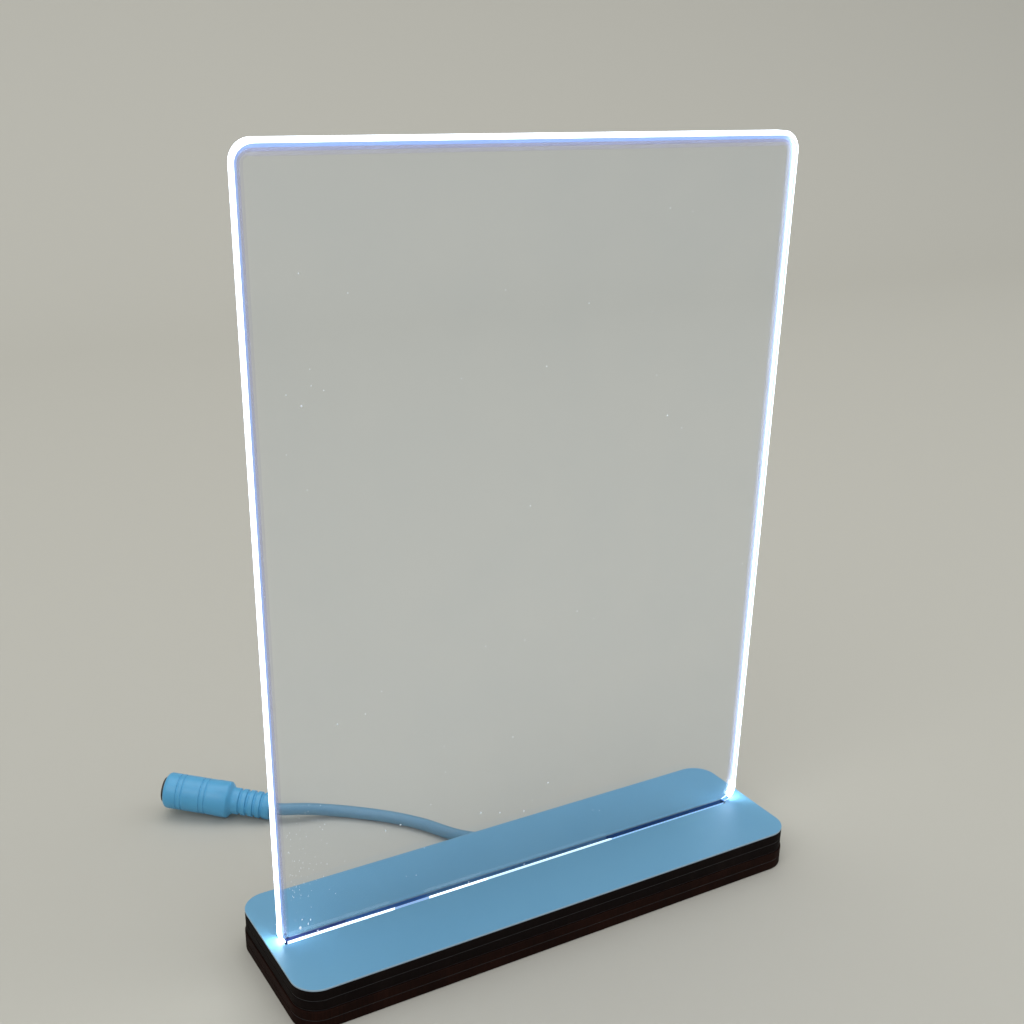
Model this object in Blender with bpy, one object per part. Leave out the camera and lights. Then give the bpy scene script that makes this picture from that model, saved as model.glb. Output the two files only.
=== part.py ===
"""An acrylic LED lamp.

A clear panel stands on edge in the slot of a low base, which is four boards and a thin
laminate glued in a stack. An LED strip in a channel under the slot lights the panel's
lower edge, and its lead leaves the back of the base and ends in an in-line socket.
The origin is on the table, under the middle of the base. +X runs along the panel to the
right, +Y to the back and +Z up.
"""

import math

import bmesh
import bpy
from mathutils import Matrix, Vector

MM = 0.001

# Boards and laminate of the base, which runs past both ends of the panel
BASE_MARGIN = 3.9 * MM
BASE_D = 45.2 * MM
BASE_CORNER_R = 7.0 * MM
BOARD_T = 2.7 * MM
LAMINATE_T = 0.5 * MM
GLUE_LINE = 0.2 * MM
LOWER_OVERHANG = 0.3 * MM

# Panel, a little left of the base's middle, whose tab sits nearer to its left edge
PANEL_X = -0.4 * MM
PANEL_W = 148.0 * MM
PANEL_H = 193.5 * MM
PANEL_T = 3.0 * MM
PANEL_TOP_R = 5.0 * MM
PANEL_LEFT_R = 0.8 * MM
PANEL_RIGHT_R = 3.8 * MM
SHOULDER_FLAT = 0.2 * MM
TAB_DEPTH = 6.4 * MM
PANEL_SETBACK = 0.5 * MM

# Clearances
FIT_GAP = 0.2 * MM
REST_GAP = 0.3 * MM
SLIDE_GAP = 0.3 * MM
SLOT_FRONT_GAP = 0.7 * MM
SLOT_RELIEF = 0.5 * MM
FACE_GAP = 0.3 * MM
OVERRUN = 1.0 * MM

# LED strip, a row of equal lengths that can be cut apart
SEGMENT_L = 50.0 * MM
SEGMENT_COUNT = 2
LEDS_PER_SEGMENT = 3
STRIP_W = 8.0 * MM
STRIP_T = 0.3 * MM
TAPE_T = 0.2 * MM
STRIP_END_GAP = 0.9 * MM
CHANNEL_FRONT_GAP = 0.7 * MM
WIRE_LANE = 5.8 * MM

# Parts on the strip
LED_L = 3.5 * MM
LED_W = 2.8 * MM
LED_H = 1.6 * MM
LED_CUP_R = 1.2 * MM
LED_CUP_DEPTH = 0.8 * MM
PHOSPHOR_T = 0.5 * MM
RESISTOR_L = 3.2 * MM
RESISTOR_W = 1.6 * MM
RESISTOR_H = 0.6 * MM
RESISTOR_INSET = 2.4 * MM
PAD_SPACING = 4.6 * MM
PAD_INSET = 1.3 * MM
SOLDER_R = 0.9 * MM
SOLDER_H = 0.7 * MM

# Cable and its two leads
CABLE_D = 3.8 * MM
CABLE_TO_STRIP_END = 22.0 * MM
NOTCH_GAP = 0.3 * MM
LEAD_D = 1.2 * MM
LEAD_SPACING = 1.5 * MM
LEAD_BEND_R = 2.4 * MM
LEAD_STEP = 0.8 * MM
TIE_BAND_W = 2.1 * MM
TIE_BAND_T = 0.5 * MM
TIE_HEAD_L = 3.0 * MM
TIE_HEAD_H = 3.2 * MM
JACKET_END_GAP = 0.4 * MM

# Free stretch of the cord, which leaves the base and meets the socket by short straight ends
CORD_STEP = 8.0 * MM
CORD_END_L = 1.0 * MM
CORD_ROUTE = [
    (4.7 * MM, 25.6 * MM, 5.4 * MM),
    (2.9 * MM, 28.4 * MM, 4.4 * MM),
    (-0.2 * MM, 32.0 * MM, 2.9 * MM),
    (-3.5 * MM, 36.8 * MM, 2.15 * MM),
    (-6.0 * MM, 41.0 * MM, 2.0 * MM),
    (-9.9 * MM, 47.7 * MM, 2.0 * MM),
    (-14.9 * MM, 54.1 * MM, 2.0 * MM),
    (-20.6 * MM, 59.9 * MM, 2.0 * MM),
    (-26.8 * MM, 65.3 * MM, 2.0 * MM),
    (-30.3 * MM, 67.7 * MM, 2.15 * MM),
    (-34.1 * MM, 69.5 * MM, 2.7 * MM),
    (-38.1 * MM, 70.8 * MM, 3.4 * MM),
    (-42.1 * MM, 72.0 * MM, 3.95 * MM),
    (-45.4 * MM, 73.3 * MM, 4.1 * MM),
]

# In-line socket, measured from the end of its strain relief to its mouth, which stands higher
RELIEF_END = (-48.5 * MM, 75.2 * MM, 4.35 * MM)
SOCKET_HEADING_DEG = 143.6
SOCKET_PITCH_DEG = 6.0
SOCKET_L = 33.6 * MM
SOCKET_R = 5.6 * MM
COLLAR_R = 5.7 * MM
COLLAR_L = 4.2 * MM
MOUTH_ROUND_R = 1.3 * MM
RELIEF_L = 11.9 * MM
RELIEF_R = 4.15 * MM
RELIEF_GROOVE_DEPTH = 0.6 * MM
RELIEF_RIB_COUNT = 5
RELIEF_EDGE = 0.4 * MM
NECK_L = 1.8 * MM
GROOVE_W = 0.6 * MM
GROOVE_DEPTH = 0.2 * MM
GROOVE_PAIR_SPACING = 1.6 * MM
FRONT_GROOVES_BACK = 5.2 * MM
REAR_GROOVES_BACK = 12.6 * MM
SHELL_BORE_R = 4.2 * MM
SHELL_BORE_DEPTH = 14.0 * MM
INSULATOR_PROUD = 0.8 * MM
INSULATOR_EDGE = 0.3 * MM
INSULATOR_FLOOR = 3.0 * MM
PLUG_BORE_R = 3.2 * MM
PIN_R = 1.0 * MM
PIN_RECESS = 1.2 * MM
PIN_TIP_H = 0.6 * MM
CONTACT_T = 0.25 * MM
CONTACT_L = 6.0 * MM
CONTACT_ARC_DEG = 90.0

# Faces along curves, and the distance within which points are one
ARC_STEPS = 8
TURN_STEPS = 36
SMALL_TURN_STEPS = 24
ROUTE_SAMPLES = 24
WELD = 0.001 * MM

# Length of the base, and heights of the stack
BASE_L = PANEL_W + 2 * BASE_MARGIN
BOARD_PITCH = BOARD_T + GLUE_LINE
LOWER_FRAME_Z = BOARD_PITCH
UPPER_FRAME_Z = LOWER_FRAME_Z + BOARD_PITCH
TOP_BOARD_Z = UPPER_FRAME_Z + BOARD_PITCH
LAMINATE_Z = TOP_BOARD_Z + BOARD_PITCH
BASE_TOP_Z = LAMINATE_Z + LAMINATE_T
SHOULDER_Z = BASE_TOP_Z + REST_GAP

# Tab, slot and channel
TAB_LEFT = PANEL_X - PANEL_W / 2 + PANEL_LEFT_R + SHOULDER_FLAT
TAB_RIGHT = PANEL_X + PANEL_W / 2 - PANEL_RIGHT_R - SHOULDER_FLAT
PANEL_FRONT = PANEL_SETBACK - PANEL_T / 2
PANEL_BACK = PANEL_SETBACK + PANEL_T / 2
SLOT_LEFT = TAB_LEFT - SLIDE_GAP
SLOT_RIGHT = TAB_RIGHT + SLIDE_GAP
CHANNEL_FRONT = PANEL_SETBACK - STRIP_W / 2 - CHANNEL_FRONT_GAP
CHANNEL_BACK = PANEL_SETBACK + STRIP_W / 2 + WIRE_LANE

# Strip, and the levels of what lies on it
STRIP_L = SEGMENT_L * SEGMENT_COUNT
STRIP_LEFT = SLOT_LEFT + STRIP_END_GAP
STRIP_RIGHT = STRIP_LEFT + STRIP_L
TAPE_Z = BOARD_T + FIT_GAP
STRIP_Z = TAPE_Z + TAPE_T + FIT_GAP
CHIP_Z = STRIP_Z + STRIP_T + FIT_GAP
LED_PITCH = SEGMENT_L / LEDS_PER_SEGMENT

# Cable inside the base
BASE_BACK = BASE_D / 2
CABLE_R = CABLE_D / 2
CABLE_X = STRIP_RIGHT - CABLE_TO_STRIP_END
CABLE_Z = (LOWER_FRAME_Z + UPPER_FRAME_Z + BOARD_T) / 2
CABLE_EXIT = (CABLE_X, BASE_BACK + FACE_GAP, CABLE_Z)
TIE_Y = CHANNEL_BACK - NOTCH_GAP - TIE_BAND_W / 2
JACKET_END = TIE_Y - TIE_BAND_W / 2 - JACKET_END_GAP


def material(name, colour, roughness, metallic=0.0, alpha=1.0, glow=0.0):
    """A Principled material with one colour; glow is the strength of its own light."""
    made = bpy.data.materials.new(name)
    made.use_nodes = True
    shader = made.node_tree.nodes["Principled BSDF"]
    shader.inputs["Base Color"].default_value = (*colour, 1.0)
    shader.inputs["Roughness"].default_value = roughness
    shader.inputs["Metallic"].default_value = metallic
    shader.inputs["Alpha"].default_value = alpha
    if glow:
        shader.inputs["Emission Color"].default_value = (*colour, 1.0)
        shader.inputs["Emission Strength"].default_value = glow
    return made


def add_object(name, data, surface, place=(0.0, 0.0, 0.0), parent=None):
    """An object in the scene, with its material and its place."""
    made = bpy.data.objects.new(name, data)
    bpy.context.scene.collection.objects.link(made)
    made.location = place
    made.parent = parent
    if surface:
        data.materials.append(surface)
    return made


def finish_mesh(name, bm, smooth_angle=None):
    """The bmesh as a mesh whose faces point outwards, shaded smooth where it is round."""
    bmesh.ops.recalc_face_normals(bm, faces=bm.faces)
    mesh = bpy.data.meshes.new(name)
    bm.to_mesh(mesh)
    bm.free()
    if smooth_angle is not None:
        mesh.shade_smooth()
        mesh.set_sharp_from_angle(angle=math.radians(smooth_angle))
    return mesh


def arc(centre, radius, start_deg, end_deg, steps=ARC_STEPS):
    """Points along an arc, both ends included."""
    points = []
    for i in range(steps + 1):
        angle = math.radians(start_deg + (end_deg - start_deg) * i / steps)
        points.append((centre[0] + radius * math.cos(angle), centre[1] + radius * math.sin(angle)))
    return points


def prism(name, outline, depth, smooth_angle=None):
    """An outline in X and Y, drawn upwards by depth."""
    bm = bmesh.new()
    face = bm.faces.new([bm.verts.new((x, y, 0.0)) for x, y in outline])
    drawn = bmesh.ops.extrude_face_region(bm, geom=[face])
    moved = [item for item in drawn["geom"] if isinstance(item, bmesh.types.BMVert)]
    bmesh.ops.translate(bm, vec=(0.0, 0.0, depth), verts=moved)
    return finish_mesh(name, bm, smooth_angle)


def block(name, length, width, height):
    """A box that stands on its local floor, centred on its origin."""
    outline = [(-length / 2, -width / 2), (length / 2, -width / 2)]
    outline += [(length / 2, width / 2), (-length / 2, width / 2)]
    return prism(name, outline, height)


def turned(name, profile, steps, closed=False, smooth_angle=35.0):
    """A profile of radius and height, turned about local Z."""
    bm = bmesh.new()
    verts = [bm.verts.new((radius, 0.0, height)) for radius, height in profile]
    edges = [bm.edges.new(pair) for pair in zip(verts, verts[1:])]
    if closed:
        edges.append(bm.edges.new((verts[-1], verts[0])))
    bmesh.ops.spin(
        bm, geom=verts + edges, cent=(0.0, 0.0, 0.0), axis=(0.0, 0.0, 1.0),
        angle=2 * math.pi, steps=steps, use_merge=True,
    )
    bmesh.ops.remove_doubles(bm, verts=bm.verts, dist=WELD)
    return finish_mesh(name, bm, smooth_angle)


def cutter(name, low, high):
    """A box between two corners that only cuts other pieces."""
    size = [b - a for a, b in zip(low, high)]
    centre = [(a + b) / 2 for a, b in zip(low, high)]
    made = add_object(name, block(name, *size), None, (centre[0], centre[1], low[2]))
    made.hide_render = True
    made.display_type = "WIRE"
    return made


def combine(target, other, operation):
    """A Boolean with another object, kept as a modifier."""
    change = target.modifiers.new(other.name, "BOOLEAN")
    change.operation = operation
    change.solver = "EXACT"
    change.object = other


def smooth_route(points, step):
    """Places at even steps along a smooth curve through the points."""
    route = [Vector(point) for point in points]
    route = [2 * route[0] - route[1], *route, 2 * route[-1] - route[-2]]
    dense = [route[1]]
    for before, start, end, after in zip(route, route[1:], route[2:], route[3:]):
        for i in range(1, ROUTE_SAMPLES + 1):
            t = i / ROUTE_SAMPLES
            dense.append(
                0.5 * (
                    2 * start + (end - before) * t
                    + (2 * before - 5 * start + 4 * end - after) * t**2
                    + (3 * start - before - 3 * end + after) * t**3
                )
            )
    travelled = [0.0]
    for a, b in zip(dense, dense[1:]):
        travelled.append(travelled[-1] + (b - a).length)
    count = max(1, round(travelled[-1] / step))
    places = []
    spot = 0
    for i in range(count + 1):
        goal = travelled[-1] * i / count
        while spot < len(dense) - 2 and travelled[spot + 1] < goal:
            spot += 1
        share = (goal - travelled[spot]) / (travelled[spot + 1] - travelled[spot])
        places.append(dense[spot].lerp(dense[spot + 1], min(1.0, share)))
    return places


def tube(name, places, diameter, surface):
    """A round tube with closed ends along the places."""
    curve = bpy.data.curves.new(name, "CURVE")
    curve.dimensions = "3D"
    curve.bevel_depth = diameter / 2
    curve.bevel_resolution = 2
    curve.use_fill_caps = True
    spline = curve.splines.new("POLY")
    spline.points.add(len(places) - 1)
    for point, place in zip(spline.points, places):
        point.co = (*place, 1.0)
    return add_object(name, curve, surface)


def socket_direction():
    """The way from the socket's strain relief to its mouth."""
    heading, pitch = math.radians(SOCKET_HEADING_DEG), math.radians(SOCKET_PITCH_DEG)
    level = math.cos(pitch)
    return Vector((math.cos(heading) * level, math.sin(heading) * level, math.sin(pitch)))


def base_outline(overhang=0.0):
    """The base's rounded rectangle seen from above."""
    radius = BASE_CORNER_R + overhang
    x = BASE_L / 2 + overhang - radius
    y = BASE_D / 2 + overhang - radius
    outline = []
    for centre, start in (((x, y), 0), ((-x, y), 90), ((-x, -y), 180), ((x, -y), 270)):
        outline += arc(centre, radius, start, start + 90)
    return outline


def make_base():
    """Four boards and the laminate, with the slot, the channel and the cable notch.

    The board's slot is a little wider than the laminate's, which hides its edges.
    """
    slot_front = PANEL_FRONT - SLOT_FRONT_GAP
    slot_back = PANEL_BACK + SLIDE_GAP
    slot = cutter(
        "slot_cut",
        (SLOT_LEFT, slot_front, LAMINATE_Z - OVERRUN),
        (SLOT_RIGHT, slot_back, BASE_TOP_Z + OVERRUN),
    )
    wide_slot = cutter(
        "wide_slot_cut",
        (SLOT_LEFT - SLOT_RELIEF, slot_front - SLOT_RELIEF, TOP_BOARD_Z - OVERRUN),
        (SLOT_RIGHT + SLOT_RELIEF, slot_back + SLOT_RELIEF, LAMINATE_Z + OVERRUN),
    )
    channel = cutter(
        "channel_cut",
        (SLOT_LEFT, CHANNEL_FRONT, LOWER_FRAME_Z - OVERRUN),
        (SLOT_RIGHT, CHANNEL_BACK, TOP_BOARD_Z + OVERRUN),
    )
    notch_half = CABLE_R + NOTCH_GAP
    notch = cutter(
        "notch_cut",
        (CABLE_X - notch_half, CHANNEL_BACK - OVERRUN, LOWER_FRAME_Z - OVERRUN),
        (CABLE_X + notch_half, BASE_BACK + LOWER_OVERHANG + OVERRUN, TOP_BOARD_Z + OVERRUN),
    )
    charred = material("charred_board_edge", (0.006, 0.005, 0.007), 0.75)
    brown = material("brown_board_edge", (0.016, 0.009, 0.009), 0.7)
    pale = material("pale_laminate", (0.14, 0.34, 0.52), 0.3)

    bottom = prism("bottom_board", base_outline(LOWER_OVERHANG), BOARD_T, 30.0)
    add_object("bottom_board", bottom, brown)
    lower = prism("lower_frame", base_outline(LOWER_OVERHANG), BOARD_T, 30.0)
    upper = prism("upper_frame", base_outline(), BOARD_T, 30.0)
    for name, mesh, height, surface in (
        ("lower_frame", lower, LOWER_FRAME_Z, brown.copy()),
        ("upper_frame", upper, UPPER_FRAME_Z, charred),
    ):
        frame = add_object(name, mesh, surface, (0.0, 0.0, height))
        combine(frame, channel, "DIFFERENCE")
        combine(frame, notch, "DIFFERENCE")
    top = prism("top_board", base_outline(), BOARD_T, 30.0)
    sheet = prism("top_laminate", base_outline(), LAMINATE_T, 30.0)
    board = add_object("top_board", top, charred.copy(), (0.0, 0.0, TOP_BOARD_Z))
    combine(board, wide_slot, "DIFFERENCE")
    laminate = add_object("top_laminate", sheet, pale, (0.0, 0.0, LAMINATE_Z))
    combine(laminate, slot, "DIFFERENCE")


def make_panel():
    """The clear panel, whose origin is on its lifting axis at the height of its shoulders."""
    half = PANEL_W / 2
    tab_left, tab_right = TAB_LEFT - PANEL_X, TAB_RIGHT - PANEL_X
    outline = [(tab_left, -TAB_DEPTH), (tab_right, -TAB_DEPTH), (tab_right, 0.0)]
    outline += arc((half - PANEL_RIGHT_R, PANEL_RIGHT_R), PANEL_RIGHT_R, -90, 0)
    outline += arc((half - PANEL_TOP_R, PANEL_H - PANEL_TOP_R), PANEL_TOP_R, 0, 90)
    outline += arc((PANEL_TOP_R - half, PANEL_H - PANEL_TOP_R), PANEL_TOP_R, 90, 180)
    outline += arc((PANEL_LEFT_R - half, PANEL_LEFT_R), PANEL_LEFT_R, 180, 270)
    outline.append((tab_left, 0.0))
    mesh = prism("acrylic_panel", outline, PANEL_T, 30.0)
    upright = Matrix.Rotation(math.radians(90), 4, "X")
    mesh.transform(Matrix.Translation((0.0, PANEL_T / 2, 0.0)) @ upright)
    clear = material("clear_acrylic", (0.85, 0.88, 0.9), 0.05, alpha=0.3)
    lift = bpy.data.objects.new("panel_lift_axis", None)
    bpy.context.scene.collection.objects.link(lift)
    lift.location = (PANEL_X, PANEL_SETBACK, SHOULDER_Z)
    add_object("acrylic_panel", mesh, clear, parent=lift)


def led_housing():
    """The mesh of one LED housing, with the cup for its phosphor."""
    body = add_object("led_blank", block("led_blank", LED_W, LED_L, LED_H), None)
    cup_profile = [(0.0, 0.0), (LED_CUP_R, 0.0), (LED_CUP_R, LED_CUP_DEPTH + OVERRUN)]
    cup_profile.append((0.0, LED_CUP_DEPTH + OVERRUN))
    cup_mesh = turned("led_cup", cup_profile, SMALL_TURN_STEPS)
    cup = add_object("led_cup", cup_mesh, None, (0.0, 0.0, LED_H - LED_CUP_DEPTH))
    combine(body, cup, "DIFFERENCE")
    depsgraph = bpy.context.evaluated_depsgraph_get()
    mesh = bpy.data.meshes.new_from_object(body.evaluated_get(depsgraph))
    for spare in (body, cup):
        bpy.data.objects.remove(spare)
    mesh.name = "led_housing"
    return mesh


def make_strip():
    """The taped-down strip with its LEDs and resistors."""
    middle = (STRIP_LEFT + STRIP_RIGHT) / 2
    foam = material("adhesive_tape", (0.6, 0.6, 0.58), 0.8)
    flex = material("white_flex_circuit", (0.75, 0.76, 0.74), 0.5)
    tape = block("strip_tape", STRIP_L, STRIP_W, TAPE_T)
    add_object("strip_tape", tape, foam, (middle, PANEL_SETBACK, TAPE_Z))
    strip = block("led_strip", STRIP_L, STRIP_W, STRIP_T)
    add_object("led_strip", strip, flex, (middle, PANEL_SETBACK, STRIP_Z))

    housing = led_housing()
    housing.materials.append(material("white_led_housing", (0.8, 0.8, 0.78), 0.4))
    window_r = LED_CUP_R - FIT_GAP
    window_profile = [(0.0, 0.0), (window_r, 0.0), (window_r, PHOSPHOR_T), (0.0, PHOSPHOR_T)]
    window = turned("phosphor_window", window_profile, SMALL_TURN_STEPS)
    window.materials.append(material("lit_phosphor", (0.85, 0.93, 1.0), 0.5, glow=4.0))
    window_z = CHIP_Z + LED_H - LED_CUP_DEPTH + FIT_GAP
    for i in range(SEGMENT_COUNT * LEDS_PER_SEGMENT):
        x = STRIP_LEFT + LED_PITCH * (i + 0.5)
        add_object(f"led_{i + 1}", housing, None, (x, PANEL_SETBACK, CHIP_Z))
        add_object(f"phosphor_{i + 1}", window, None, (x, PANEL_SETBACK, window_z))

    chip = block("resistor", RESISTOR_L, RESISTOR_W, RESISTOR_H)
    chip.materials.append(material("black_resistor", (0.02, 0.02, 0.02), 0.5))
    resistor_y = PANEL_SETBACK - STRIP_W / 2 + RESISTOR_INSET
    for i in range(SEGMENT_COUNT):
        x = STRIP_LEFT + SEGMENT_L * i + LED_PITCH
        add_object(f"resistor_{i + 1}", chip, None, (x, resistor_y, CHIP_Z))


def make_leads():
    """The two soldered leads, which turn out of the cable and run back to the strip's end."""
    joint_profile = [(0.0, 0.0), (SOLDER_R, 0.0)]
    for radius, height in arc((0.0, 0.0), 1.0, 0, 90)[1:-1]:
        joint_profile.append((SOLDER_R * radius, SOLDER_H * height))
    joint_profile.append((0.0, SOLDER_H))
    joint = turned("solder_joint", joint_profile, SMALL_TURN_STEPS, smooth_angle=60.0)
    joint.materials.append(material("solder", (0.6, 0.6, 0.6), 0.35, metallic=1.0))
    pad_x = STRIP_RIGHT - PAD_INSET
    lead_z = CHIP_Z + LEAD_D / 2 + FIT_GAP
    last_led_x = STRIP_RIGHT - LED_PITCH / 2
    for name, side, colour in (
        ("positive", 1, (0.5, 0.02, 0.015)),
        ("negative", -1, (0.012, 0.012, 0.014)),
    ):
        pad_y = PANEL_SETBACK + side * PAD_SPACING / 2
        add_object(f"solder_{name}", joint, None, (pad_x, pad_y, CHIP_Z))
        start_x = CABLE_X + side * LEAD_SPACING / 2
        start_y = JACKET_END - FACE_GAP
        bend_r = LEAD_BEND_R + (1 - side) * LEAD_SPACING / 2
        turn_x = start_x + bend_r
        run_y = start_y - bend_r
        route = [(start_x, start_y, CABLE_Z)]
        for x, y in arc((turn_x, start_y), bend_r, 180, 270, 4)[1:]:
            fall_share = (x - start_x) / bend_r / 2
            route.append((x, y, CABLE_Z + (lead_z - CABLE_Z) * fall_share))
        route.append((turn_x + LEAD_BEND_R, run_y, lead_z))
        route.append((last_led_x, run_y, lead_z))
        bend = Vector((last_led_x + LED_W, run_y, lead_z))
        pad = Vector((pad_x, pad_y, lead_z))
        end = pad - (pad - bend).normalized() * (SOLDER_R + FACE_GAP)
        route += [tuple(bend), tuple(end)]
        insulation = material(f"{name}_insulation", colour, 0.4)
        tube(f"lead_{name}", smooth_route(route, LEAD_STEP), LEAD_D, insulation)


def make_cable():
    """The jacketed cable in the base, the tie that holds it, and its free stretch."""
    jacket = material("pale_cord_jacket", (0.1, 0.38, 0.62), 0.4)
    inside = [(CABLE_X, JACKET_END, CABLE_Z), (CABLE_X, BASE_BACK, CABLE_Z)]
    tube("cord_inner", inside, CABLE_D, jacket.copy())
    start = Vector(CABLE_EXIT)
    along = socket_direction()
    end = Vector(RELIEF_END) - along * FACE_GAP
    route = [start + Vector((0.0, CORD_END_L, 0.0)), *CORD_ROUTE, end - along * CORD_END_L]
    places = [start, *smooth_route(route, CORD_STEP), end]
    tube("power_cord", places, CABLE_D, jacket)

    ring_r = CABLE_R + NOTCH_GAP
    band_r = ring_r + TIE_BAND_T
    half = TIE_BAND_W / 2
    band_profile = [(ring_r, -half), (band_r, -half), (band_r, half), (ring_r, half)]
    band = turned("cable_tie", band_profile, TURN_STEPS, closed=True)
    nylon = material("black_nylon", (0.015, 0.015, 0.016), 0.45)
    tie = add_object("cable_tie", band, nylon, (CABLE_X, TIE_Y, CABLE_Z))
    tie.rotation_euler = (math.radians(90), 0.0, 0.0)
    head_left = CABLE_X + ring_r + TIE_BAND_T / 2
    head = cutter(
        "cable_tie_head",
        (head_left, TIE_Y - half, CABLE_Z - TIE_HEAD_H / 2),
        (head_left + TIE_HEAD_L, TIE_Y + half, CABLE_Z + TIE_HEAD_H / 2),
    )
    combine(tie, head, "UNION")


def groove(height, radius):
    """Four points of a shallow groove round the socket's body."""
    return [
        (radius, height - GROOVE_W / 2),
        (radius - GROOVE_DEPTH, height - GROOVE_W / 4),
        (radius - GROOVE_DEPTH, height + GROOVE_W / 4),
        (radius, height + GROOVE_W / 2),
    ]


def shell_profile():
    """The moulded body from the end of its strain relief to the bottom of its bore."""
    profile = [(0.0, 0.0), (RELIEF_R - RELIEF_EDGE, 0.0), (RELIEF_R, RELIEF_EDGE)]
    pitch = (RELIEF_L - RELIEF_EDGE) / RELIEF_RIB_COUNT
    for i in range(1, RELIEF_RIB_COUNT):
        start = RELIEF_EDGE + pitch * i
        profile += [
            (RELIEF_R, start - pitch / 4),
            (RELIEF_R - RELIEF_GROOVE_DEPTH, start - pitch / 8),
            (RELIEF_R - RELIEF_GROOVE_DEPTH, start + pitch / 8),
            (RELIEF_R, start + pitch / 4),
        ]
    rise = COLLAR_R - RELIEF_R
    for share in (0.0, 0.15, 0.5, 0.85, 1.0):
        ease_share = share * share * (3 - 2 * share)
        profile.append((RELIEF_R + rise * ease_share, RELIEF_L + NECK_L * share))
    collar_end = RELIEF_L + NECK_L + COLLAR_L
    profile.append((COLLAR_R, collar_end - GROOVE_W))
    profile.append((SOCKET_R, collar_end))
    for back in (REAR_GROOVES_BACK, FRONT_GROOVES_BACK):
        for offset in (-GROOVE_PAIR_SPACING / 2, GROOVE_PAIR_SPACING / 2):
            profile += groove(SOCKET_L - back + offset, SOCKET_R)
    centre = (SOCKET_R - MOUTH_ROUND_R, SOCKET_L - MOUTH_ROUND_R)
    profile += arc(centre, MOUTH_ROUND_R, 0, 90, 5)
    bore_end = SOCKET_L - SHELL_BORE_DEPTH
    profile += [(SHELL_BORE_R, SOCKET_L), (SHELL_BORE_R, bore_end), (0.0, bore_end)]
    return profile


def make_socket():
    """The in-line socket, whose parts stand on an axis that follows the end of the cord."""
    axis = bpy.data.objects.new("socket_axis", None)
    bpy.context.scene.collection.objects.link(axis)
    axis.location = RELIEF_END
    tilt = math.radians(90 - SOCKET_PITCH_DEG)
    axis.rotation_euler = (0.0, tilt, math.radians(SOCKET_HEADING_DEG))

    moulded = material("pale_moulding", (0.1, 0.4, 0.66), 0.35)
    shell = turned("socket_shell", shell_profile(), TURN_STEPS, smooth_angle=40.0)
    add_object("socket_shell", shell, moulded, parent=axis)

    low = SOCKET_L - SHELL_BORE_DEPTH + FIT_GAP
    top = SOCKET_L + INSULATOR_PROUD
    outer = SHELL_BORE_R - FIT_GAP
    hole = PIN_R + FIT_GAP
    edge = INSULATOR_EDGE
    lining = [(hole, low), (outer, low), (outer, top - edge), (outer - edge, top)]
    lining += [(PLUG_BORE_R + edge, top), (PLUG_BORE_R, top - edge)]
    lining += [(PLUG_BORE_R, low + INSULATOR_FLOOR), (hole, low + INSULATOR_FLOOR)]
    insulator = turned("socket_insulator", lining, TURN_STEPS, closed=True)
    black = material("black_insulator", (0.012, 0.012, 0.013), 0.35)
    add_object("socket_insulator", insulator, black, parent=axis)

    pin_top = top - PIN_RECESS
    pin_profile = [(0.0, low), (PIN_R, low), (PIN_R, pin_top - PIN_TIP_H)]
    for radius, height in arc((0.0, 0.0), 1.0, 0, 90, 5)[1:-1]:
        pin_profile.append((PIN_R * radius, pin_top - PIN_TIP_H + PIN_TIP_H * height))
    pin_profile.append((0.0, pin_top))
    pin = turned("socket_pin", pin_profile, SMALL_TURN_STEPS)
    nickel = material("nickel_plate", (0.65, 0.63, 0.58), 0.25, metallic=1.0)
    add_object("socket_pin", pin, nickel, parent=axis)

    leaf_r = PLUG_BORE_R - FIT_GAP
    half_arc = CONTACT_ARC_DEG / 2
    leaf = arc((0.0, 0.0), leaf_r, -half_arc, half_arc)
    leaf += arc((0.0, 0.0), leaf_r - CONTACT_T, half_arc, -half_arc)
    contact = prism("socket_contact", leaf, CONTACT_L, 30.0)
    contact_z = low + INSULATOR_FLOOR + FIT_GAP
    add_object("socket_contact", contact, nickel.copy(), (0.0, 0.0, contact_z), axis)


def main():
    """Empties the scene and builds the lamp."""
    for old in list(bpy.data.objects):
        bpy.data.objects.remove(old)
    make_base()
    make_panel()
    make_strip()
    make_leads()
    make_cable()
    make_socket()


main()
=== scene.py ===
"""The looks of an edge-lit acrylic lamp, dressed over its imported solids."""

import math
import random

import bmesh
import bpy
from mathutils import Matrix, Vector


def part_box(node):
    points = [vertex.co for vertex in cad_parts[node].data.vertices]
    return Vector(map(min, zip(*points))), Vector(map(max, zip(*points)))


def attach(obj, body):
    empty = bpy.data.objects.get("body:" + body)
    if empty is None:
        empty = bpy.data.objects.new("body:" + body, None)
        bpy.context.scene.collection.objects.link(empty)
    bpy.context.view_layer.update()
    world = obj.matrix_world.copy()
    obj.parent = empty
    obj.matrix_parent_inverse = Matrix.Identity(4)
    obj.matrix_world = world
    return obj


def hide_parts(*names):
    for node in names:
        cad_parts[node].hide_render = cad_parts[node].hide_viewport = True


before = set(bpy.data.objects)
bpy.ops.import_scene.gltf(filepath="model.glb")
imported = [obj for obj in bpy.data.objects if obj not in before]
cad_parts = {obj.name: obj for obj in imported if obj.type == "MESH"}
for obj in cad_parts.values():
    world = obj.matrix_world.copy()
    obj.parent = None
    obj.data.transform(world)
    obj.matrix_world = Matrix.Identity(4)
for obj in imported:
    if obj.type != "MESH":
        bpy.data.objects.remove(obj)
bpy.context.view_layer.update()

# The viewpoint of the photograph, taken by hand from in front of the lamp, to its left and
# just above the panel's top. The picture is the upper part of an upright one, so its
# optical axis meets it below its middle, which the shift gives.
MM = 0.001
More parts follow.
